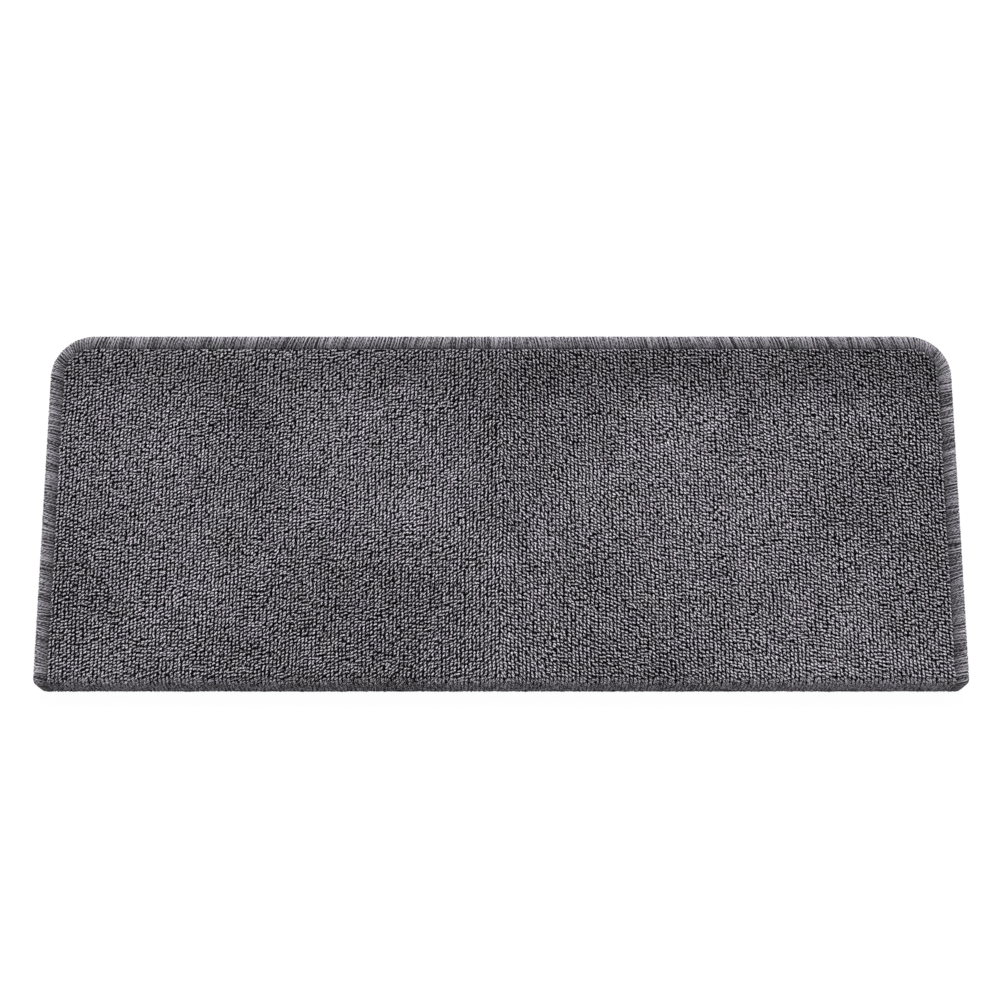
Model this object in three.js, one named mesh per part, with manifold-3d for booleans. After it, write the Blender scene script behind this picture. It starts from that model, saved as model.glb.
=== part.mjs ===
// A stair tread mat: a loop-pile carpet on an anti-slip backing. It lies flat on the tread, and
// its front bends down over the stair's edge as a nose. Yarn is whipped round the whole edge, and
// a needle thread holds the yarn along its inner side. Everything is first laid out on the
// unrolled mat, as across, along and height, and then put in place by the function bent.
//
// Millimetres, +X across the stair, +Y towards the riser behind, +Z up. The origin is the middle
// of the mat's depth and width, on the flat underside that rests on the tread.

import * as THREE from "three";
import Module from "manifold-3d";

const wasm = await Module();
wasm.setup();

// Overall size. The depth runs from the nose's face to the rear edge, and the height from the top
// of the pile to the foot of the nose.
const matWidth = 650;
const matDepth = 256;
const matHeight = 36;
const rearCornerRadius = 31;
const noseCornerRadius = 6;

// Layers, from the underside up.
const backingThickness = 2;
const groundThickness = 1.2;
const pileHeight = 2.3;

// The pile's loops stand in rows that run from front to back.
const rowSpacing = 2.66;
const furrowDepth = 1.2;

// The bend between the tread and the nose.
const bendInnerRadius = 1.5;
const bendSegments = 4;

// The whipped edge: a yarn wrapping that grips the carpet's rim from above and below.
const whippingWidth = 9;
const whippingHeight = 5;
const whippingShoulder = 2.2;
const whippingWall = 1;
const ribSpacing = 12;
const ribDepth = 0.4;

// The rim that the whipping grips is squeezed thinner than the rest of the backing.
const rimBackingThickness = 0.8;

// The needle thread lies in the furrow between the whipping and the pile.
const threadDiameter = 1;
const threadSides = 6;

// The clearance that pieces which only touch each other keep.
const snug = 0.3;

// Facets of a rear corner and of a nose corner, and the least radius that an inset corner keeps.
const rearCornerSegments = 12;
const noseCornerSegments = 4;
const leastRadius = 1;

// Heights above the underside.
const groundBottom = backingThickness;
const groundTop = groundBottom + groundThickness;
const pileTop = groundTop + pileHeight;
const rimBottom = backingThickness - rimBackingThickness;

// Places along the unrolled mat, counted from the start of the bend and positive to the rear.
const bendOuterRadius = bendInnerRadius + pileTop;
const foldY = bendOuterRadius - matDepth / 2;
const bendRun = (bendInnerRadius * Math.PI) / 2;
const noseRun = matHeight - bendOuterRadius;
const rearEnd = matDepth / 2 - foldY;
const footEnd = -bendRun - noseRun;

// Insets from the mat's outer edge.
const rimInset = whippingWall + snug;
const backingFieldInset = whippingWidth + snug;
const threadInset = whippingWidth + snug + threadDiameter / 2;
const pileInset = threadInset + threadDiameter / 2 + snug;

// Puts a point of the unrolled mat where it lies on the bent one.
function bent(across, along, height) {
  if (along >= 0) return [across, foldY + along, height];
  const radius = bendInnerRadius + height;
  if (along <= -bendRun) return [across, foldY - radius, along + bendRun - bendInnerRadius];
  const angle = -along / bendInnerRadius;
  const y = foldY - radius * Math.sin(angle);
  const z = radius * Math.cos(angle) - bendInnerRadius;
  return [across, y, z];
}

// The outline's sizes at an inset from the outer edge.
function outlineAt(inset) {
  return {
    halfWidth: matWidth / 2 - inset,
    rear: rearEnd - inset,
    foot: footEnd + inset,
    rearRadius: Math.max(rearCornerRadius - inset, leastRadius),
    footRadius: Math.max(noseCornerRadius - inset, leastRadius),
  };
}

// A quarter corner as [distance from the centre line, setback from the straight edge] pairs.
function cornerPoints(halfWidth, radius, segments) {
  const points = [];
  for (let i = 0; i <= segments; i++) {
    const angle = (i / segments) * (Math.PI / 2);
    points.push([halfWidth - radius + radius * Math.sin(angle), radius * (1 - Math.cos(angle))]);
  }
  return points;
}

// How far a cornered edge is set back at a distance from the centre line.
function setbackAt(distance, corner) {
  for (let i = 1; i < corner.length; i++) {
    const [outer, outerSetback] = corner[i];
    const [inner, innerSetback] = corner[i - 1];
    if (distance > outer) continue;
    const share = Math.max(0, (distance - inner) / (outer - inner));
    return innerSetback + share * (outerSetback - innerSetback);
  }
  return corner[corner.length - 1][1];
}

// Stations of the bend, from the nose to the tread.
function bendStations() {
  const stations = [];
  for (let i = bendSegments; i >= 0; i--) stations.push((-bendRun * i) / bendSegments);
  return stations;
}

// A closed mesh from vertices and the triangles between them, as a solid.
function solidFrom(vertices, triangles) {
  return new wasm.Manifold(
    new wasm.Mesh({
      numProp: 3,
      vertProperties: new Float32Array(vertices.flat()),
      triVerts: new Uint32Array(triangles.flat()),
    }),
  );
}

// A sheet of the mat inside the outline, between two heights. Each column runs from the foot of
// the nose to the rear edge, and topOf gives the sheet's top at each column.
function sheetSolid(columns, outline, rearSegments, footSegments, bottom, topOf) {
  const rearCorner = cornerPoints(outline.halfWidth, outline.rearRadius, rearSegments);
  const footCorner = cornerPoints(outline.halfWidth, outline.footRadius, footSegments);
  const vertices = [];
  let rows = 0;
  columns.forEach((across, column) => {
    const distance = Math.abs(across);
    const stations = [
      outline.foot + setbackAt(distance, footCorner),
      ...bendStations(),
      outline.rear - setbackAt(distance, rearCorner),
    ];
    rows = stations.length;
    for (const along of stations) {
      vertices.push(bent(across, along, bottom), bent(across, along, topOf(column)));
    }
  });
  const low = (column, row) => 2 * (column * rows + row);
  const high = (column, row) => low(column, row) + 1;
  const triangles = [];
  const face = (a, b, c, d) => triangles.push([a, b, c], [a, c, d]);
  const last = columns.length - 1;
  for (let c = 0; c < last; c++) {
    for (let r = 0; r < rows - 1; r++) {
      face(high(c, r), high(c + 1, r), high(c + 1, r + 1), high(c, r + 1));
      face(low(c, r), low(c, r + 1), low(c + 1, r + 1), low(c + 1, r));
    }
    face(low(c, 0), low(c + 1, 0), high(c + 1, 0), high(c, 0));
    face(low(c + 1, rows - 1), low(c, rows - 1), high(c, rows - 1), high(c + 1, rows - 1));
  }
  for (let r = 0; r < rows - 1; r++) {
    face(low(0, r + 1), low(0, r), high(0, r), high(0, r + 1));
    face(low(last, r), low(last, r + 1), high(last, r + 1), high(last, r));
  }
  return solidFrom(vertices, triangles);
}

// A plain sheet at an inset, with columns only where its corners need them.
function plainSheet(inset, bottom, top) {
  const outline = outlineAt(inset);
  const places = new Set();
  for (const [distance] of [
    ...cornerPoints(outline.halfWidth, outline.rearRadius, rearCornerSegments),
    ...cornerPoints(outline.halfWidth, outline.footRadius, noseCornerSegments),
  ]) {
    places.add(distance);
    places.add(-distance);
  }
  const columns = [...places].sort((a, b) => a - b);
  return sheetSolid(columns, outline, rearCornerSegments, noseCornerSegments, bottom, () => top);
}

// The outline at an inset as a closed loop of [across, along] points, anticlockwise from the fold
// on the right. segments gives how many steps each run takes.
function loopAt(inset, segments) {
  const { halfWidth, rear, foot, rearRadius, footRadius } = outlineAt(inset);
  const loop = [];
  const line = (from, to, steps) => {
    for (let i = 0; i < steps; i++) {
      const share = i / steps;
      loop.push([from[0] + share * (to[0] - from[0]), from[1] + share * (to[1] - from[1])]);
    }
  };
  const corner = (side, centreAlong, radius, startQuarter, steps) => {
    for (let i = 0; i < steps; i++) {
      const angle = (startQuarter + i / steps) * (Math.PI / 2);
      const across = side * (halfWidth - radius) + radius * Math.cos(angle);
      loop.push([across, centreAlong + radius * Math.sin(angle)]);
    }
  };
  line([halfWidth, 0], [halfWidth, rear - rearRadius], segments.side);
  corner(1, rear - rearRadius, rearRadius, 0, rearCornerSegments);
  line([halfWidth - rearRadius, rear], [rearRadius - halfWidth, rear], segments.rear);
  corner(-1, rear - rearRadius, rearRadius, 1, rearCornerSegments);
  line([-halfWidth, rear - rearRadius], [-halfWidth, 0], segments.side);
  line([-halfWidth, 0], [-halfWidth, -bendRun], bendSegments);
  line([-halfWidth, -bendRun], [-halfWidth, foot + footRadius], segments.nose);
  corner(-1, foot + footRadius, footRadius, 2, noseCornerSegments);
  line([footRadius - halfWidth, foot], [halfWidth - footRadius, foot], segments.foot);
  corner(1, foot + footRadius, footRadius, 3, noseCornerSegments);
  line([halfWidth, foot + footRadius], [halfWidth, -bendRun], segments.nose);
  line([halfWidth, -bendRun], [halfWidth, 0], bendSegments);
  return loop;
}

// A ring that follows the mat's edge. profiles holds one section for each step in turn, each a
// closed anticlockwise list of [inset, height] points.
function ringSolid(profiles, segments) {
  const size = profiles[0].length;
  const loops = profiles.map((profile) => profile.map(([inset]) => loopAt(inset, segments)));
  const steps = loops[0][0].length;
  const vertices = [];
  for (let i = 0; i < steps; i++) {
    const turn = i % profiles.length;
    for (let k = 0; k < size; k++) {
      const [across, along] = loops[turn][k][i];
      vertices.push(bent(across, along, profiles[turn][k][1]));
    }
  }
  const triangles = [];
  for (let i = 0; i < steps; i++) {
    const next = (i + 1) % steps;
    for (let k = 0; k < size; k++) {
      const up = (k + 1) % size;
      const a = i * size + k;
      const b = next * size + k;
      const c = next * size + up;
      const d = i * size + up;
      triangles.push([a, c, b], [a, d, c]);
    }
  }
  return solidFrom(vertices, triangles);
}

const singleSteps = { side: 1, rear: 1, nose: 1, foot: 1 };

// Steps for the ribbed whipping: an even number on each run, so that crest and trough alternate.
function ribSteps() {
  const { halfWidth, rear, foot, rearRadius, footRadius } = outlineAt(0);
  const even = (length) => 2 * Math.max(1, Math.round(length / ribSpacing));
  return {
    side: even(rear - rearRadius),
    rear: even(2 * (halfWidth - rearRadius)),
    nose: even(-bendRun - foot - footRadius),
    foot: even(2 * (halfWidth - footRadius)),
  };
}

// The whipping's outer section, drawn in by a depth all round its outside.
function whippingProfile(depth) {
  const top = whippingHeight - depth;
  const rise = (whippingHeight - 2 * depth) / 4;
  const middle = whippingHeight / 2;
  const shoulder = whippingShoulder + depth / 2;
  const cheek = depth + (whippingShoulder - depth) / 4;
  return [
    [whippingWidth, depth],
    [whippingWidth, top - rise],
    [whippingWidth - whippingShoulder, top],
    [shoulder, top],
    [cheek, middle + 1.5 * rise],
    [depth, middle],
    [cheek, middle - 1.5 * rise],
    [shoulder, depth],
  ];
}

// The slot inside the whipping that the carpet's rim sits in.
function slotProfile() {
  const low = rimBottom - snug;
  const high = groundTop + snug;
  const inner = whippingWidth + 2 * snug;
  return [
    [inner, low],
    [inner, high],
    [whippingWall, high],
    [whippingWall, low],
  ];
}

function threadProfile() {
  const centre = groundTop + snug + threadDiameter / 2;
  const points = [];
  for (let i = 0; i < threadSides; i++) {
    const angle = (i / threadSides) * 2 * Math.PI;
    const inset = threadInset + (threadDiameter / 2) * Math.cos(angle);
    points.push([inset, centre + (threadDiameter / 2) * Math.sin(angle)]);
  }
  return points;
}

// The carpet: its ground cloth reaches out under the whipping, and the loop pile stands on it in
// rows, inside the needle thread.
function carpetSolid() {
  const ground = plainSheet(rimInset, groundBottom, groundTop);
  const outline = outlineAt(pileInset);
  const rowCount = Math.floor((2 * outline.halfWidth) / rowSpacing);
  outline.halfWidth = (rowCount * rowSpacing) / 2;
  const columns = [];
  for (let i = 0; i <= 2 * rowCount; i++) columns.push((i * rowSpacing) / 2 - outline.halfWidth);
  const topOf = (column) => (column % 2 ? pileTop : pileTop - furrowDepth);
  const root = groundBottom + groundThickness / 2;
  const segments = [rearCornerSegments, noseCornerSegments];
  return ground.add(sheetSolid(columns, outline, ...segments, root, topOf));
}

// The backing is full thickness inside the whipping, and squeezed to a thin rim within it.
function backingSolid() {
  const rim = plainSheet(rimInset, rimBottom, backingThickness);
  const field = plainSheet(backingFieldInset, 0, (rimBottom + backingThickness) / 2);
  return rim.add(field);
}

function whippingSolid() {
  const ribbed = ringSolid([whippingProfile(0), whippingProfile(ribDepth)], ribSteps());
  return ribbed.subtract(ringSolid([slotProfile()], singleSteps));
}

function threadSolid() {
  return ringSolid([threadProfile()], singleSteps);
}

function meshOf(name, solid, colour, roughness) {
  const mesh = solid.getMesh();
  const geometry = new THREE.BufferGeometry();
  geometry.setAttribute("position", new THREE.BufferAttribute(mesh.vertProperties, 3));
  geometry.setIndex(new THREE.BufferAttribute(mesh.triVerts, 1));
  geometry.computeVertexNormals();
  const look = { color: colour, roughness, metalness: 0, flatShading: true };
  const made = new THREE.Mesh(geometry, new THREE.MeshStandardMaterial(look));
  made.name = name;
  return made;
}

const mat = new THREE.Group();
mat.add(
  meshOf("loop_pile_carpet", carpetSolid(), 0x5c5a60, 0.95),
  meshOf("anti_slip_backing", backingSolid(), 0x2c2c2e, 0.85),
  meshOf("whipped_edge", whippingSolid(), 0x77757b, 0.9),
  meshOf("needle_thread", threadSolid(), 0x8c8a90, 0.9),
);

export default mat;
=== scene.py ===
"""A loop-pile stair tread mat: yarn loops in rows, a whipped yarn edge, a needle thread along it
and a dotted rubber backing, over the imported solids. Metres, +X across the stair, +Y to the
riser, +Z up.

The mat is laid out unrolled, as across, along and height, and bent over the stair's edge after
that. Along is counted from the start of the bend, positive to the rear. An inset is a distance
from the mat's edge to the inside."""

import math

import bpy
import numpy as np
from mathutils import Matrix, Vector


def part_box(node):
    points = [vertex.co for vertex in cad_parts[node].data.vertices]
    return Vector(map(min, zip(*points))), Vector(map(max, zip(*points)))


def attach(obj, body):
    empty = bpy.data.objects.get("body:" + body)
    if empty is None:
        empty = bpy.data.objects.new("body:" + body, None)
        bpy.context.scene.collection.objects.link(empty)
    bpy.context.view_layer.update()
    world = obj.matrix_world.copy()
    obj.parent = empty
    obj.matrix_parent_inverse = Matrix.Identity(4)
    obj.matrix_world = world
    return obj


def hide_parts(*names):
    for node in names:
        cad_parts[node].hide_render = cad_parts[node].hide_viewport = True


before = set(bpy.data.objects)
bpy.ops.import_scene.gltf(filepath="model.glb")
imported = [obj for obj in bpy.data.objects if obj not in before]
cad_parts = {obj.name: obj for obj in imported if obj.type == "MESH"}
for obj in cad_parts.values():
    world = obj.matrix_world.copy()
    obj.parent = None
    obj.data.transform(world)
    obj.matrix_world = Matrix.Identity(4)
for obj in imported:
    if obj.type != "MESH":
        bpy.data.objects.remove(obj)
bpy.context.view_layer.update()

mm = 0.001
quarter = math.pi / 2
full_turn = 2 * math.pi

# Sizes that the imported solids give.
pile_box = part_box("loop_pile_carpet")
edge_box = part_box("whipped_edge")
pile_top = pile_box[1].z
half_width = edge_box[1].x
rear_y = edge_box[1].y
front_y = pile_box[0].y
foot_z = edge_box[0].z

# Sizes that the solids share with this scene.
rear_corner_radius = 31 * mm
nose_corner_radius = 6 * mm
least_radius = 1 * mm
bend_radius = 1.5 * mm
ground_bottom = 2 * mm
ground_top = 3.2 * mm

# Places on the unrolled mat. The pile is counted along its own bend, which runs at mid-pile and
# is longer than the bend of the underside.
fold_y = front_y + bend_radius + pile_top
bend_run = bend_radius * quarter
pile_bend_run = (bend_radius + (ground_top + pile_top) / 2) * quarter
nose_run = -foot_z - bend_radius
rear_end = rear_y - fold_y
foot_end = -bend_run - nose_run

# How finely the edge's line and the sheets are divided.
line_step = 0.25 * mm
ring_stride = 8
sheet_columns = 81
sheet_bend_rows = 9

# The slants of the pile and of the whipping are each mirrored about the mat's middle, and change
# over this width.
middle_width = 60 * mm

# The pile: rows from front to back, and the stitches along them. The crease is where the pile
# opens over the bend.
row_spacing = 2.66 * mm
stitch_spacing = 2.54 * mm
crease_along = -1.7 * mm
crease_width = 0.25 * mm
crease_reach = 2 * stitch_spacing
pile_inset = 11.0 * mm
pile_least_inset = pile_inset - 1 * mm
pile_rear_gap = 0.9 * mm
pile_rear_slack = 0.6 * mm
pile_pieces = 4

# How far the loops stray from their places: at random, and together over a stretch.
across_stray = 0.25 * mm
along_stray = 0.28 * mm
across_drift = 0.5 * mm
across_drift_stretch = 18 * mm
along_drift = 1.2 * mm
along_drift_stretch = 90 * mm
row_slip = 1.2 * mm
row_slip_stretch = 22 * mm

# One loop: two rings of points between its ends, which it narrows and drops to. The rings stand
# at shares of its half-length, and their points at angles in degrees.
loop_length = 3.7 * mm
loop_width = 2.5 * mm
loop_height = 2.4 * mm
loop_end_drop = 0.8 * mm
loop_taper = 0.8
loop_ring_places = [-0.46, 0.46]
loop_ring_angles = [-90, 8, 62, 118, 172]

# How much one loop differs from the next, as shares of its sizes, and how far it leans.
length_spread = 0.07
width_spread = 0.06
height_spread = 0.04
height_drift = 0.03
height_drift_stretch = 5 * mm
lean_spread = 0.25 * mm

# How far a loop's rear end turns from its row, in degrees: towards the middle of the mat, together
# with its neighbours, and at random.
turn_to_middle = 12
turn_drift = 15
turn_drift_stretch = 9 * mm
turn_spread = 16

# The loops' lightness, and how it drifts from place to place. Bands run across the rows.
pile_tone = 0.13
pile_tone_spread = 0.04
near_tone_drift = 0.11
near_tone_stretch = 16 * mm
far_tone_drift = 0.28
far_tone_stretch = 60 * mm
band_tone_drift = 0.09
band_depth = 2.6 * mm
band_ratio = 14

# The pile below the crease: a little lighter, as painted light on a face that turns from the lamp,
# with short streaks along the rows, and with flatter, slightly darker painted shade.
nose_blend = 2 * mm
nose_painted_light = 0.1
streak_tone = 0.6
streak_width = 1.3 * mm
streak_ratio = 3
nose_flatness = 0.35
nose_loss = 0.15
nose_twist = 0.5

# Painted shade on the pile: darker down its loops, in a band near the rear, beside the edge and on
# the nose.
dark_height = 0.3 * mm
dark_run = loop_height - 0.5 * mm
dark_power = 1.8
rear_dimming = 0.29
rear_dim_inset = 24 * mm
rear_dim_width = 22 * mm
side_dimming = 0.2
side_dim_width = 16 * mm
nose_dimming = 0.15

# The loops' twisted plies: how much their number varies from one to a stitch, and how far they
# are out of step, in radians. Their fibres are drawn out over the height.
ply_count_spread = 0.06
ply_step_spread = 0.65
fibre_height_share = 0.15

# The whipping's turns of yarn. They lean along the edge on their way in, and back underneath.
whipping_width = 9.9 * mm
whipping_below_pile = 0.5 * mm
strand_pitch = 1.15 * mm
strand_width = 0.97 * mm
strand_thickness = 0.9 * mm
strand_sides = 5
strand_end_share = 0.6
strand_lean = 4.0 * mm
side_lean_share = 0.75
wide_lean_drift = 0.4
wide_lean_stretch = 14 * mm
close_lean_drift = 0.1
close_lean_stretch = 3 * mm
underside_lean = -0.6
strand_place_spread = 0.12
strand_swell_spread = 0.1
strand_lift_spread = 0.1 * mm
strand_wobble = 0.12 * mm

# How light the whipping is: by turns and with more contrast on the nose in its tone, and with
# painted shade on the nose, underneath and at insets over its top.
strand_contrast = 0.15
strand_tone_spread = 0.16
nose_contrast = 1.6
strand_tone_drift = 0.03
strand_tone_stretch = 6 * mm
shade_insets = [0.6 * mm, 2.2 * mm, 3.8 * mm, 5.2 * mm, 6.6 * mm, 8.0 * mm, 9.2 * mm]
shade_shares = [0.69, 0.86, 0.76, 0.47, 0.4, 0.53, 0.28]
underside_share = 0.6
nose_share = 0.66

# The whipping's plies, and where its fibres are read: drawn out along a turn, and far from those
# of the next turn.
strand_ply_length = 2.6 * mm
strand_ply_width = 1.8 * mm
strand_fibre_share = 0.3
strand_fibre_offset = 7.3 * mm

# The whipping's inside, as (inset, height). It is dark, partly as painted shade between the turns.
core_profile = [
    (whipping_width, 1.0 * mm), (whipping_width, 3.6 * mm), (7 * mm, 4.3 * mm),
    (2 * mm, 4.0 * mm), (0.9 * mm, 2.8 * mm), (1.2 * mm, 1.2 * mm), (2.5 * mm, 0.8 * mm)]

# The needle thread's stitches, which arch over the furrow and bow inward a little.
stitch_length = 4 * mm
stitch_share = 0.95
stitch_length_spread = 0.1
stitch_place_spread = 0.08
stitch_thickness = 0.6 * mm
stitch_taper = 0.7
stitch_stations = 7
stitch_sides = 5
thread_inset = 10.5 * mm
thread_lift = 0.3 * mm
bow_inward = 0.4 * mm
bow_inward_spread = 0.15 * mm
bow_height = 1.3 * mm
bow_height_spread = 0.2 * mm
thread_tone = 0.5
thread_tone_spread = 0.15
# Painted shade at each stitch's ends, where it sinks into the furrow.
thread_end_share = 0.25
thread_ply_length = 1.6 * mm
thread_ply_width = 1.2 * mm
thread_fibre_share = 0.4

# The ground cloth and the backing with its grip dots.
ground_inset = 6 * mm
ground_lift = 0.1 * mm
backing_inset = 8.9 * mm
dot_spacing = 6 * mm
dot_row_ratio = 0.866
dot_base = 1.2 * mm
dot_crown = 0.8 * mm
dot_height = 0.4 * mm
dot_root = 0.1 * mm
dot_sides = 6


# Random fields

def patches(u, v, size, seed):
    """Smooth random values between -1 and 1 that change over about a size."""
    cells = 256
    grid = np.random.default_rng(seed).uniform(-1, 1, (cells, cells))
    u = np.asarray(u) / size
    v = np.asarray(v) / size
    column = np.floor(u).astype(int)
    row = np.floor(v).astype(int)
    fu = u - column
    fv = v - row
    fu = fu * fu * (3 - 2 * fu)
    fv = fv * fv * (3 - 2 * fv)

    def at(i, j):
        return grid[(column + i) % cells, (row + j) % cells]

    low = at(0, 0) * (1 - fu) + at(1, 0) * fu
    high = at(0, 1) * (1 - fu) + at(1, 1) * fu
    return low * (1 - fv) + high * fv


def patches_round(distance, size, seed):
    """Smooth random values along a line."""
    return patches(distance, 0 * distance, size, seed)


# Shapes on the unrolled mat

def bent(across, along, height):
    """Points of the unrolled mat where they lie on the bent one."""
    angle = np.clip(-along / bend_radius, 0, quarter)
    radius = bend_radius + height
    drop = np.maximum(-along - bend_run, 0)
    y = fold_y + np.maximum(along, 0) - radius * np.sin(angle)
    z = radius * np.cos(angle) - bend_radius - drop
    return np.stack(np.broadcast_arrays(across, y, z), axis=-1)


def edge_runs(inset):
    """The runs of the line at an inset from the mat's edge, anticlockwise from the fold on the
    right: each as its true length, its length on the unrolled mat and its radius."""
    rear_radius = max(rear_corner_radius - inset, least_radius)
    nose_radius = max(nose_corner_radius - inset, least_radius)
    side = rear_end - inset - rear_radius
    rear = 2 * (half_width - inset - rear_radius)
    nose = nose_run - inset - nose_radius
    foot = 2 * (half_width - inset - nose_radius)
    rear_corner = (rear_radius * quarter, 0, rear_radius)
    nose_corner = (nose_radius * quarter, 0, nose_radius)
    bend = ((bend_radius + ground_top) * quarter, bend_run, 0)
    flat = [(side, side, 0), rear_corner, (rear, rear, 0), rear_corner, (side, side, 0)]
    down = [bend, (nose, nose, 0), nose_corner]
    return flat + down + [(foot, foot, 0)] + down[::-1]


def edge_line(inset):
    """The line at an inset as dense arrays: the true distance round it, across, along, the inward
    direction's two parts, and how far inward a point may go. Each inset has as many points."""
    distance = 0.0
    point = np.array([half_width - inset, 0.0])
    heading = quarter
    rows = []
    for outer_run, (true_length, flat_length, radius) in zip(edge_runs(0), edge_runs(inset)):
        count = math.ceil(outer_run[0] / line_step)
        share = np.linspace(0, 1, count, endpoint=False)[:, None]
        ahead = np.array([math.cos(heading), math.sin(heading)])
        inward = np.array([-ahead[1], ahead[0]])
        if radius:
            turn = share * quarter
            points = point + radius * (np.sin(turn) * ahead + (1 - np.cos(turn)) * inward)
            inwards = np.cos(turn) * inward - np.sin(turn) * ahead
            point = point + radius * (ahead + inward)
            heading += quarter
        else:
            points = point + share * flat_length * ahead
            inwards = np.repeat(inward[None], count, axis=0)
            point = point + flat_length * ahead
        limit = np.full((count, 1), radius or half_width)
        rows.append(np.hstack([distance + share * true_length, points, inwards, limit]))
        distance += true_length
    table = np.vstack(rows)
    closing = table[0].copy()
    closing[0] = distance
    return np.vstack([table, closing]).T


def edge_point(line, distance, inset, height):
    """Points at a distance along a line round the mat, an inset from it and a height."""
    around = np.mod(distance, line[0, -1])
    across, along, inward_x, inward_y, limit = (
        np.interp(around, line[0], row) for row in line[1:])
    reach = np.minimum(inset, limit)
    return bent(across + inward_x * reach, along + inward_y * reach, height)


def inside(across, along, inset):
    """Whether points of the unrolled mat lie further than an inset inside its edge."""
    u = half_width - np.abs(across)
    at_rear = along > 0
    v = np.where(at_rear, rear_end - along, along - foot_end)
    radius = np.where(at_rear, rear_corner_radius, nose_corner_radius)
    in_corner = (u < radius) & (v < radius)
    depth = np.where(in_corner, radius - np.hypot(radius - u, radius - v), np.minimum(u, v))
    return depth > inset


# Meshes

def add_piece(name, points, faces, material, values):
    """A mesh that rides on the mat, with smooth faces and one value of each name per point."""
    mesh = bpy.data.meshes.new(name)
    mesh.from_pydata(points.reshape(-1, 3), [], faces)
    for key, value in values.items():
        single = value.ndim == 1
        layer = mesh.attributes.new(key, "FLOAT" if single else "FLOAT_VECTOR", "POINT")
        flat = value.astype(np.float32).ravel()
        layer.data.foreach_set("value" if single else "vector", flat)
    mesh.shade_smooth()
    mesh.materials.append(material)
    piece = bpy.data.objects.new(name, mesh)
    bpy.context.scene.collection.objects.link(piece)
    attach(piece, "root")
    return piece


def repeat_faces(faces, size, count):
    """The faces of one shape for a count of shapes that have a size of points each."""
    return [[index + i * size for index in face] for i in range(count) for face in faces]


def tube_faces(stations, sides):
    """Faces of a closed tube with flat ends."""
    faces = []
    for k in range(stations - 1):
        for m in range(sides):
            n = (m + 1) % sides
            faces.append([k * sides + m, k * sides + n, (k + 1) * sides + n, (k + 1) * sides + m])
    faces.append(list(range(sides))[::-1])
    faces.append([(stations - 1) * sides + m for m in range(sides)])
    return faces


def angles_round(sides):
    """Angles of a tube's sides, evenly spaced."""
    return np.arange(sides) / sides * full_turn


def ring_piece(name, profile, material):
    """A closed band round the mat's edge with a section of (inset, height) points."""
    rings = []
    for inset, height in profile:
        line = edge_line(inset)
        rings.append(bent(line[1, :-1:ring_stride], line[2, :-1:ring_stride], height))
    points = np.stack(rings, axis=1)
    count, size = points.shape[:2]
    faces = []
    for i in range(count):
        j = (i + 1) % count
        for k in range(size):
            n = (k + 1) % size
            faces.append([i * size + k, i * size + n, j * size + n, j * size + k])
    return add_piece(name, points, faces, material, {})


def sheet_piece(name, inset, low, high, material):
    """A closed sheet inside the mat's edge, between two heights, that follows the bend."""
    columns = np.linspace(-1, 1, sheet_columns) * (half_width - inset)
    over_bend = np.linspace(-bend_run, 0, sheet_bend_rows)
    stations = np.r_[foot_end + inset, over_bend, rear_end - inset]
    rows = len(stations)
    corner = rear_corner_radius - inset
    across, along = np.meshgrid(columns, stations, indexing="ij")
    beyond = np.maximum(np.abs(columns) - (half_width - rear_corner_radius), 0)
    along[:, -1] -= corner - np.sqrt(np.maximum(corner ** 2 - beyond ** 2, 0))
    top = bent(across, along, high).reshape(-1, 3)
    bottom = bent(across, along, low).reshape(-1, 3)
    half = len(top)
    last = len(columns) - 1
    faces = []
    for c in range(last):
        for r in range(rows - 1):
            a = c * rows + r
            b = a + rows
            faces.append([a, b, b + 1, a + 1])
            faces.append([half + a, half + a + 1, half + b + 1, half + b])
        a = c * rows
        b = a + rows
        faces.append([half + a, half + b, b, a])
        a += rows - 1
        b += rows - 1
        faces.append([a, b, half + b, half + a])
    for r in range(rows - 1):
        faces.append([r, r + 1, half + r + 1, half + r])
        a = last * rows + r
        faces.append([half + a, half + a + 1, a + 1, a])
    return add_piece(name, np.concatenate([top, bottom]), faces, material, {})


# Pile

def pile_places():
    """Where each loop stands: across, and the distance along a row at mid-pile."""
    rows = math.floor(2 * (half_width - pile_inset) / row_spacing) + 1
    rearmost = rear_end - pile_inset - pile_rear_gap
    count = math.floor((rearmost + pile_bend_run + nose_run) / stitch_spacing)
    random = np.random.default_rng(seed=3)
    row = (np.arange(rows) - (rows - 1) / 2) * row_spacing
    across, along = np.meshgrid(row, rearmost - np.arange(count) * stitch_spacing)
    slip = patches(across / row_spacing, along / row_slip_stretch, 1, seed=9)
    drift = patches(across, along, along_drift_stretch, seed=8)
    along = along + row_slip * slip + along_drift * drift
    across = across + across_drift * patches(across, along, across_drift_stretch, seed=10)
    across = across + random.normal(0, across_stray, across.shape)
    along = along + random.normal(0, along_stray, along.shape)
    along = np.minimum(along, rearmost + pile_rear_slack)
    from_crease = along - crease_along
    push = crease_width * np.exp(-np.abs(from_crease) / crease_reach)
    along = along + np.sign(from_crease) * push
    return across.ravel(), along.ravel()


def pile_frames(across, along):
    """The foot of each loop on the ground cloth, the direction of its row, the way up, and the
    distance along the unrolled mat."""
    angle = np.clip(-along / pile_bend_run, 0, 1) * quarter
    on_bend = along / pile_bend_run * bend_run
    below_bend = along + pile_bend_run - bend_run
    flat = np.where(along > 0, along, np.where(along < -pile_bend_run, below_bend, on_bend))
    foot = bent(across, flat, np.full_like(across, ground_top))
    zero = np.zeros_like(angle)
    onward = np.stack([zero, np.cos(angle), np.sin(angle)], axis=-1)
    upward = np.stack([zero, -np.sin(angle), np.cos(angle)], axis=-1)
    return foot, onward, upward, flat


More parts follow.
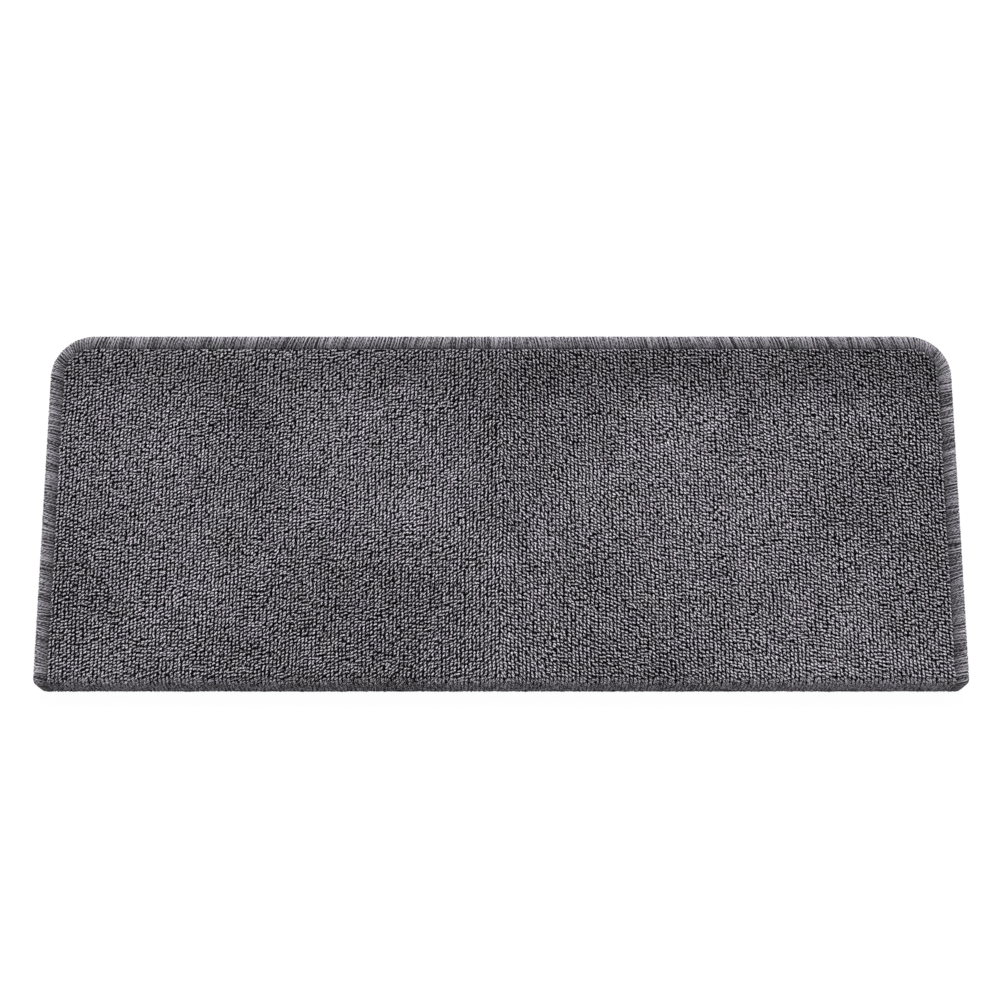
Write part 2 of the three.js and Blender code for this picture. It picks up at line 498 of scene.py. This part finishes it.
def loop_shape():
    """A loop's points as (place along it, angle round it), and its faces."""
    angles = np.radians(loop_ring_angles)
    sides = len(angles)
    ring = [(place, angle) for place in loop_ring_places for angle in angles]
    points = np.array([(-1.0, quarter)] + ring + [(1.0, quarter)])
    last = len(points) - 1
    faces = []
    for m in range(sides):
        n = (m + 1) % sides
        faces.append([0, 1 + n, 1 + m])
        faces.append([1 + m, 1 + n, 1 + sides + n, 1 + sides + m])
        faces.append([1 + sides + m, 1 + sides + n, last])
    return points, faces


def loop_forms(random, across, along, place, around):
    """Each loop's points from its foot, as their distances to the side, onward along the row and
    up, and how many plies of the yarn's twist they are from the loop's middle."""
    count = len(across)
    drift = patches(across, along, turn_drift_stretch, seed=11)
    slant = np.tanh(across / middle_width)
    yaw = np.radians(turn_to_middle * slant + turn_drift * drift
                     + random.normal(0, turn_spread, count))
    length = loop_length * (1 + random.normal(0, length_spread, count))
    width = loop_width * (1 + random.normal(0, width_spread, count))
    height = loop_height * (1 + random.normal(0, height_spread, count)
                            + height_drift * patches(across, along, height_drift_stretch, seed=12))
    lean = random.normal(0, lean_spread, count)

    ringed = np.abs(place) < 1
    radius = width[:, None] / 2 * np.sqrt(1 - (loop_taper * place[None]) ** 2) * ringed[None]
    rise = height[:, None] - width[:, None] / 2 - loop_end_drop * place[None] ** 2
    up = rise + radius * np.sin(around[None])
    straight_side = radius * np.cos(around[None]) + lean[:, None] * place[None]
    straight_on = length[:, None] / 2 * place[None]
    cosine = np.cos(yaw)[:, None]
    sine = np.sin(yaw)[:, None]
    side = straight_side * cosine - straight_on * sine
    onward = straight_side * sine + straight_on * cosine
    arc_round = -np.sign(slant)[:, None] * radius * (around - quarter)[None]
    plies = straight_on / stitch_spacing + arc_round / row_spacing
    return side, onward, up, plies


def loop_tones(random, across, along, points, onward, below_crease):
    """How light each point of the loops is before its twist and its fibres."""
    tone = (pile_tone + random.normal(0, pile_tone_spread, len(across))
            + near_tone_drift * patches(across, along, near_tone_stretch, seed=13)
            + far_tone_drift * patches(across, along, far_tone_stretch, seed=15)
            + band_tone_drift * patches(across / band_ratio, along, band_depth, seed=14))
    streaks = patches(points[..., 0], (along[:, None] + onward) / streak_ratio, streak_width,
                      seed=16)
    # Below the crease the tone is raised as painted light, with streaks along the rows.
    return tone[:, None] + below_crease * (nose_painted_light + streak_tone * streaks)


def painted_loop_shade(across, along, up, below_crease):
    """How much light each point of the loops is painted with: painted shade, darker down the loops,
    near the rear, beside the edge and on the nose.
    """
    on_nose = np.clip(-along / pile_bend_run, 0, 1)
    to_rear = np.exp(-((rear_end - along - rear_dim_inset) / rear_dim_width) ** 2)
    to_side = np.exp(-(half_width - np.abs(across)) / side_dim_width)
    dimming = (1 - rear_dimming * to_rear - side_dimming * to_side
               - nose_dimming * on_nose ** 2)
    # Painted shade, darker down each loop towards the ground cloth.
    depth = np.clip((up - dark_height) / dark_run, 0, 1) ** dark_power
    depth = (depth + nose_flatness * below_crease * (1 - depth)) * (1 - nose_loss * below_crease)
    return depth * dimming[:, None]


def make_pile(material):
    """The loops, in a few pieces side by side."""
    across, along = pile_places()
    foot, onward, upward, flat = pile_frames(across, along)
    keep = inside(across, flat, pile_least_inset)
    across, along, foot, onward, upward = (a[keep] for a in (across, along, foot, onward, upward))
    count = len(across)
    random = np.random.default_rng(seed=5)
    shape, faces = loop_shape()
    place, around = shape.T

    to_side, to_on, up, plies = loop_forms(random, across, along, place, around)
    sideward = np.array([1.0, 0, 0])
    points = (foot[:, None] + to_side[..., None] * sideward
              + to_on[..., None] * onward[:, None] + up[..., None] * upward[:, None])
    below_crease = np.clip((crease_along - along) / nose_blend, 0, 1)[:, None]
    tone = loop_tones(random, across, along, points, to_on, below_crease)
    # The depth values are painted shade, multiplied into the yarn's colour.
    depth = painted_loop_shade(across, along, up, below_crease)
    ply_count = 1 + random.normal(0, ply_count_spread, count)[:, None]
    twist = full_turn * ply_count * plies + random.normal(0, ply_step_spread, count)[:, None]
    twist = twist * (1 + nose_twist * below_crease)
    yarn = points * np.array([1, 1, fibre_height_share])

    share = math.ceil(count / pile_pieces)
    order = np.argsort(across, kind="stable")
    for i in range(pile_pieces):
        part = order[i * share:(i + 1) * share]
        piece = add_piece(
            f"pile_loops_{i + 1}", points[part], repeat_faces(faces, len(shape), len(part)),
            material, {"tone": tone[part].ravel(), "depth": depth[part].ravel(),
                               "twist": twist[part].ravel(), "yarn": yarn[part].reshape(-1, 3)})
        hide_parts("loop_pile_carpet")


def make_ground(material):
    """The ground cloth under the loops. Its near-black colour is partly painted shade down between
    the loops.
    """
    sheet = sheet_piece("pile_ground", ground_inset, ground_bottom + ground_lift,
                        ground_top + ground_lift, material)
    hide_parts("loop_pile_carpet")


# Whipping

def strand_path():
    """The centre line of one turn as (inset, height), from the top's inner end round the edge to
    the underside's inner end, the direction out of it, and which points are on top."""
    low = strand_thickness / 2
    top = pile_top - whipping_below_pile - low
    over_top = [
        (whipping_width + 0.1 * mm, ground_top + 0.3 * mm),
        (whipping_width - 0.2 * mm, top - 0.5 * mm),
        (whipping_width - 0.9 * mm, top),
        (whipping_width - 5.0 * mm, top),
        (2.0 * mm, top - 0.5 * mm),
        (0.7 * mm, top - 1.5 * mm),
    ]
    under = [
        (low, pile_top / 2 - 0.4 * mm),
        (0.9 * mm, low + 0.5 * mm),
        (2.4 * mm, low),
        (whipping_width - 3 * mm, low),
        (whipping_width, low + 0.2 * mm),
    ]
    path = np.array(over_top + under)
    tangent = np.gradient(path, axis=0)
    tangent /= np.linalg.norm(tangent, axis=1)[:, None]
    outward = np.stack([tangent[:, 1], -tangent[:, 0]], axis=1)
    middle_of_top = len(over_top) // 2
    outward *= np.sign(outward[middle_of_top, 1])
    on_top = np.arange(len(path)) < len(over_top)
    return path, outward, on_top


def strand_leans(base, across):
    """How far each turn leans along the edge: mirrored about the mat's middle, and as its
    neighbours do."""
    mirrored = side_lean_share * np.tanh(-across / middle_width)
    wide = wide_lean_drift * patches_round(base, wide_lean_stretch, seed=31)
    close = close_lean_drift * patches_round(base, close_lean_stretch, seed=32)
    return strand_lean * (mirrored + wide + close)


def make_whipping(material):
    """The yarn's turns round the mat's edge, each a closed tube."""
    outer = edge_line(0)
    edge_length = outer[0, -1]
    count = round(edge_length / strand_pitch)
    random = np.random.default_rng(seed=21)
    path, outward, on_top = strand_path()
    stations = len(path)
    size = stations * strand_sides

    turn = np.arange(count)
    base = (turn + random.normal(0, strand_place_spread, count)) * strand_pitch
    across = np.interp(np.mod(base, edge_length), outer[0], outer[1])
    along = np.interp(np.mod(base, edge_length), outer[0], outer[2])
    lean = strand_leans(base, across)
    swell = 1 + random.normal(0, strand_swell_spread, count)
    lift = random.normal(0, strand_lift_spread, count)
    wobble = random.normal(0, strand_wobble, (count, stations))

    lean_share = path[:, 0] / whipping_width * np.where(on_top, 1, underside_lean)
    shift = lean[:, None] * lean_share[None]
    angle = angles_round(strand_sides)
    taper = np.ones(stations)
    taper[0] = taper[-1] = strand_end_share
    half_wide = strand_width / 2 * swell[:, None] * taper[None]
    half_thick = strand_thickness / 2 * swell[:, None] * taper[None]
    distance = (base[:, None] + shift + wobble)[..., None] + half_wide[..., None] * np.cos(angle)
    reach = lift[:, None, None] * on_top[None, :, None] + half_thick[..., None] * np.sin(angle)
    inset = path[None, :, 0, None] + reach * outward[None, :, 0, None]
    height = path[None, :, 1, None] + reach * outward[None, :, 1, None]
    points = edge_point(outer, distance, inset, height)

    contrast = (np.where(turn % 2, strand_contrast, -strand_contrast)
                + random.normal(0, strand_tone_spread, count))
    tone = np.clip(0.5 + contrast * (1 + nose_contrast * (along < 0))
                   + strand_tone_drift * patches_round(base, strand_tone_stretch, seed=33), 0, 1)
    run = np.cumsum(np.r_[0, np.linalg.norm(np.diff(path, axis=0), axis=1)])
    arc_round = strand_width / 2 * angle
    yarn = np.stack(np.broadcast_arrays(
        strand_fibre_share * run[None, :, None], arc_round[None, None],
        turn[:, None, None] * strand_fibre_offset), axis=-1)
    plies = run[:, None] / strand_ply_length + arc_round / strand_ply_width
    first_ply = random.uniform(0, full_turn, count)[:, None, None]
    twist = np.broadcast_to(full_turn * plies[None] + first_ply, inset.shape)
    # Painted shade: darker down the nose, underneath, and by inset over the top, darkest at the
    # furrow.
    dimming = 1 - (1 - nose_share) * np.clip(-along / bend_run, 0, 1)
    inset_shade = np.interp(inset, shade_insets, shade_shares)
    depth = np.where(on_top[None, :, None], inset_shade, underside_share) * dimming[:, None, None]
    faces = repeat_faces(tube_faces(stations, strand_sides), size, count)
    piece = add_piece(
        "whipping_yarn", points, faces, material,
        {"tone": np.repeat(tone, size), "depth": depth.ravel(),
         "twist": twist.ravel(), "yarn": yarn.reshape(-1, 3)})
    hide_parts("whipped_edge")


def make_core(material):
    """The dark inside of the whipping, which shows between its turns; its darkness is partly
    painted shade there.
    """
    core = ring_piece("whipping_core", core_profile, material)
    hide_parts("whipped_edge")


# Needle thread

def make_thread(material):
    """The thread's stitches, each a closed tube that arches between two needle holes."""
    line = edge_line(thread_inset)
    length_round = line[0, -1]
    count = round(length_round / stitch_length)
    size = stitch_stations * stitch_sides
    random = np.random.default_rng(seed=41)
    along = np.linspace(-1, 1, stitch_stations)
    angle = angles_round(stitch_sides)
    place = np.arange(count) + random.normal(0, stitch_place_spread, count)
    base = place * length_round / count
    bow = 1 - along ** 2
    radius = stitch_thickness / 2 * np.sqrt(1 - (stitch_taper * along) ** 2)
    length = stitch_length * (stitch_share + random.normal(0, stitch_length_spread, count))
    centre = base[:, None] + along[None] * length[:, None] / 2
    inward = bow_inward + random.normal(0, bow_inward_spread, count)
    upward = bow_height + random.normal(0, bow_height_spread, count)
    inset = bow[None] * inward[:, None]
    height = ground_top + thread_lift + bow[None] * upward[:, None]
    inset = inset[..., None] + radius[None, :, None] * np.cos(angle)
    height = height[..., None] + radius[None, :, None] * np.sin(angle)
    run = np.broadcast_to(centre[..., None], inset.shape)
    points = edge_point(line, run, inset, height)

    tone = np.clip(thread_tone + random.normal(0, thread_tone_spread, count), 0, 1)
    # Painted shade: each stitch is darker towards its ends, down in the furrow.
    light = thread_end_share + (1 - thread_end_share) * bow
    depth = np.broadcast_to(light[None, :, None], inset.shape)
    arc_round = np.broadcast_to(angle * stitch_thickness / 2, inset.shape)
    yarn = np.stack([thread_fibre_share * run, arc_round, 0 * run], axis=-1)
    twist = full_turn * (run / thread_ply_length + arc_round / thread_ply_width)
    faces = [face[::-1] for face in tube_faces(stitch_stations, stitch_sides)]
    piece = add_piece(
        "thread_stitches", points, repeat_faces(faces, size, count), material,
        {"tone": np.repeat(tone, size), "depth": depth.ravel(),
         "twist": twist.ravel(), "yarn": yarn.reshape(-1, 3)})
    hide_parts("needle_thread")


# Backing

def dot_places():
    """Where the grip dots stand: across and along, in rows that are half a dot out of step."""
    reach = half_width - backing_inset
    across, along = np.meshgrid(np.arange(-reach, reach, dot_spacing),
                                np.arange(foot_end, rear_end, dot_spacing * dot_row_ratio))
    step = dot_spacing / 4
    across = across + np.where(np.arange(len(along)) % 2, step, -step)[:, None]
    keep = inside(across, along, backing_inset + dot_base)
    return across[keep], along[keep]


def make_backing(material):
    """A rubber sheet with rows of low grip dots that reach down to the tread."""
    sheet = sheet_piece("backing_sheet", backing_inset, dot_height, ground_bottom, material)
    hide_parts("anti_slip_backing")
    across, along = dot_places()
    angle = angles_round(dot_sides)
    levels = [(dot_base, dot_height + dot_root), (dot_crown, 0.0)]
    rings = [bent(across[:, None] + radius * np.cos(angle),
                  along[:, None] + radius * np.sin(angle), height) for radius, height in levels]
    points = np.concatenate(rings, axis=1)
    faces = [face[::-1] for face in tube_faces(len(levels), dot_sides)]
    dots = add_piece("backing_dots", points,
                     repeat_faces(faces, len(levels) * dot_sides, len(across)), material,
                     {})
    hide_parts("anti_slip_backing")


# Materials

def new_material(name, roughness, specular):
    """A material, its node tree and its shader."""
    material = bpy.data.materials.new(name)
    material.use_nodes = True
    tree = material.node_tree
    shader = tree.nodes["Principled BSDF"]
    shader.inputs["Roughness"].default_value = roughness
    shader.inputs["Specular IOR Level"].default_value = specular
    return material, tree, shader


def put(tree, value, socket):
    """Sets a socket to a number or a colour, or links another node's output to it."""
    if isinstance(value, bpy.types.NodeSocket):
        tree.links.new(value, socket)
    else:
        socket.default_value = value


def calculate(tree, operation, *values):
    node = tree.nodes.new("ShaderNodeMath")
    node.operation = operation
    for value, socket in zip(values, node.inputs):
        put(tree, value, socket)
    return node.outputs[0]


def spread(tree, value, low, high):
    """Carries a value smoothly from a range to the one between 0 and 1."""
    node = tree.nodes.new("ShaderNodeMapRange")
    node.interpolation_type = "SMOOTHSTEP"
    put(tree, value, node.inputs["Value"])
    for name, number in (("From Min", low), ("From Max", high), ("To Min", 0), ("To Max", 1)):
        node.inputs[name].default_value = number
    return node.outputs["Result"]


def mix_colours(tree, kind, factor, first, second):
    node = tree.nodes.new("ShaderNodeMix")
    node.data_type = "RGBA"
    node.blend_type = kind
    put(tree, factor, node.inputs["Factor"])
    put(tree, first, node.inputs["A"])
    put(tree, second, node.inputs["B"])
    return node.outputs["Result"]


def mix_surfaces(tree, factor, first, second, socket):
    """Links a mix of two shaders to a socket."""
    node = tree.nodes.new("ShaderNodeMixShader")
    for value, place in zip((factor, first, second), node.inputs):
        tree.links.new(value, place)
    tree.links.new(node.outputs["Shader"], socket)


def noise(tree, vector, size, detail):
    node = tree.nodes.new("ShaderNodeTexNoise")
    node.inputs["Scale"].default_value = 1 / size
    node.inputs["Detail"].default_value = detail
    tree.links.new(vector, node.inputs["Vector"])
    return node.outputs["Fac"]


def object_place(tree):
    return tree.nodes.new("ShaderNodeTexCoord").outputs["Object"]


def attribute(tree, name, output):
    node = tree.nodes.new("ShaderNodeAttribute")
    node.attribute_name = name
    return node.outputs[output]


def relief(tree, height, strength, distance, shader):
    """Bumps on a shader's surface."""
    node = tree.nodes.new("ShaderNodeBump")
    node.inputs["Strength"].default_value = strength
    node.inputs["Distance"].default_value = distance
    tree.links.new(height, node.inputs["Height"])
    tree.links.new(node.outputs["Normal"], shader.inputs["Normal"])


def yarn_material(name, dark, light, fibre_size, fibre_share, ply_share):
    """Matte yarn that goes from dark to light by its tone, its twisted plies and its fibres.
    Painted shade from its depth values darkens it down between the strands, and it is a little
    warmer or cooler from place to place."""
    fibre_sway = 5.0
    tint_stretch = 12 * mm
    cool = (0.98, 1.005, 0.98, 1)
    warm = (1.02, 0.995, 1.02, 1)
    material, tree, shader = new_material(name, roughness=0.92, specular=0.04)
    fibres = calculate(
        tree, "SUBTRACT", noise(tree, attribute(tree, "yarn", "Vector"), fibre_size, detail=2), 0.5)
    phase = calculate(tree, "MULTIPLY_ADD", fibres, fibre_sway, attribute(tree, "twist", "Fac"))
    plies = calculate(tree, "COSINE", phase)
    by_ply = calculate(tree, "MULTIPLY_ADD", plies, ply_share, attribute(tree, "tone", "Fac"))
    by_fibre = calculate(tree, "MULTIPLY_ADD", fibres, fibre_share, by_ply)
    lightness = spread(tree, by_fibre, 0.1, 0.9)
    colour = mix_colours(tree, "MIX", lightness, (*dark, 1), (*light, 1))
    # Painted shade: the colour is multiplied by the depth values.
    shaded = mix_colours(tree, "MULTIPLY", 1.0, colour, attribute(tree, "depth", "Color"))
    warmth = spread(tree, noise(tree, object_place(tree), tint_stretch, detail=1), 0.3, 0.7)
    tint = mix_colours(tree, "MIX", warmth, cool, warm)
    tinted = mix_colours(tree, "MULTIPLY", 1.0, shaded, tint)
    tree.links.new(tinted, shader.inputs["Base Color"])
    relief(tree, by_fibre, 0.5, 0.15 * mm, shader)
    return material


def grained_material(name, roughness, specular, dark, light, grain, strength):
    """A plain material with a fine grain in its colour and its surface."""
    material, tree, shader = new_material(name, roughness, specular)
    grains = noise(tree, object_place(tree), grain, detail=3)
    colour = mix_colours(tree, "MIX", spread(tree, grains, 0.3, 0.7), (*dark, 1), (*light, 1))
    tree.links.new(colour, shader.inputs["Base Color"])
    relief(tree, grains, strength, 0.2 * mm, shader)
    return material


# Stage

def seen_by(tree, output_names):
    """The largest of some outputs of the light path: one where the ray is of one of those kinds."""
    rays = tree.nodes.new("ShaderNodeLightPath")
    picked = rays.outputs[output_names[0]]
    for name in output_names[1:]:
        picked = calculate(tree, "MAXIMUM", picked, rays.outputs[name])
    return picked


def make_stage():
    """A floor that lights the mat as a mid grey and looks white to the camera."""
    floor_size = 8
    floor_grey = 0.5
    glow_strength = 1.19
    glow_share = 0.8
    bpy.ops.mesh.primitive_plane_add(size=floor_size, location=(0, 0, foot_z))
    floor = bpy.context.active_object
    floor.name = "floor"
    material, tree, shader = new_material("floor_white", roughness=1.0, specular=0.0)
    shader.inputs["Base Color"].default_value = (floor_grey, floor_grey, floor_grey, 1)
    glow = tree.nodes.new("ShaderNodeEmission")
    glow.inputs["Strength"].default_value = glow_strength
    seen = calculate(tree, "MULTIPLY", seen_by(tree, ["Is Camera Ray"]), glow_share)
    mix_surfaces(tree, seen, shader.outputs["BSDF"], glow.outputs["Emission"],
                 tree.nodes["Material Output"].inputs["Surface"])
    floor.data.materials.append(material)


def make_world():
    """Even light from all round, and plain white where it is seen, reflected or looked through."""
    world = bpy.data.worlds.new("studio")
    bpy.context.scene.world = world
    world.use_nodes = True
    tree = world.node_tree
    plain = tree.nodes["Background"]
    plain.inputs["Strength"].default_value = 0.45
    plain.inputs["Color"].default_value = (1, 1, 1, 1)
    white = tree.nodes.new("ShaderNodeBackground")
    white.inputs["Color"].default_value = (1, 1, 1, 1)
    seen = seen_by(tree, ["Is Camera Ray", "Is Glossy Ray", "Is Transmission Ray"])
    mix_surfaces(tree, seen, plain.outputs["Background"], white.outputs["Background"],
                 tree.nodes["World Output"].inputs["Surface"])


def make_lamp():
    """A soft round lamp above the rear of the mat."""
    lamp = bpy.data.lights.new("key", "AREA")
    lamp.shape = "DISK"
    lamp.size = 0.7
    lamp.energy = 21
    key = bpy.data.objects.new("key", lamp)
    key.location = (0, 0.6, 1.7)
    key.rotation_euler = (-key.location).to_track_quat("-Z", "Y").to_euler()
    bpy.context.scene.collection.objects.link(key)


def make_camera():
    """The photograph's view, from in front and steeply above."""
    elevation = math.radians(75)
    distance = 1.477
    focal_pixels = 2085
    image_pixels = 1000
    aim = Vector((-0.8 * mm, 4.4 * mm, pile_top))
    lens = bpy.data.cameras.new("camera")
    lens.sensor_width = 36
    lens.lens = focal_pixels / image_pixels * lens.sensor_width
    camera = bpy.data.objects.new("camera", lens)
    camera.location = aim + distance * Vector((0, -math.cos(elevation), math.sin(elevation)))
    camera.rotation_euler = (math.pi / 2 - elevation, 0, 0)
    bpy.context.scene.collection.objects.link(camera)
    bpy.context.scene.camera = camera


make_camera()
make_world()
make_lamp()
make_stage()
bpy.context.scene.view_settings.view_transform = "Standard"

make_pile(yarn_material(
    "pile_yarn", dark=(0.03, 0.029, 0.032), light=(0.95, 0.895, 1.0),
    fibre_size=0.8 * mm, fibre_share=8.0, ply_share=1.25))
# The ground cloth's near-black colour is partly painted shade down between the loops.
make_ground(grained_material(
    "ground_cloth_shade", roughness=0.95, specular=0.02, dark=(0.003, 0.003, 0.0035),
    light=(0.006, 0.0055, 0.0065), grain=0.8 * mm, strength=0.3))
make_whipping(yarn_material(
    "whip_yarn", dark=(0.05, 0.048, 0.054), light=(0.91, 0.865, 0.965),
    fibre_size=0.6 * mm, fibre_share=2.0, ply_share=0.2))
# The core's dark colour is partly painted shade between the whipping's turns.
make_core(grained_material(
    "core_yarn_shade", roughness=0.95, specular=0.02, dark=(0.03, 0.0288, 0.032),
    light=(0.06, 0.0575, 0.064), grain=0.8 * mm, strength=0.3))
make_thread(yarn_material(
    "thread_yarn", dark=(0.1, 0.096, 0.107), light=(0.46, 0.443, 0.49),
    fibre_size=0.4 * mm, fibre_share=1.0, ply_share=0.2))
make_backing(grained_material(
    "backing_rubber", roughness=0.7, specular=0.4, dark=(0.022, 0.021, 0.023),
    light=(0.045, 0.044, 0.046), grain=1.1 * mm, strength=0.4))
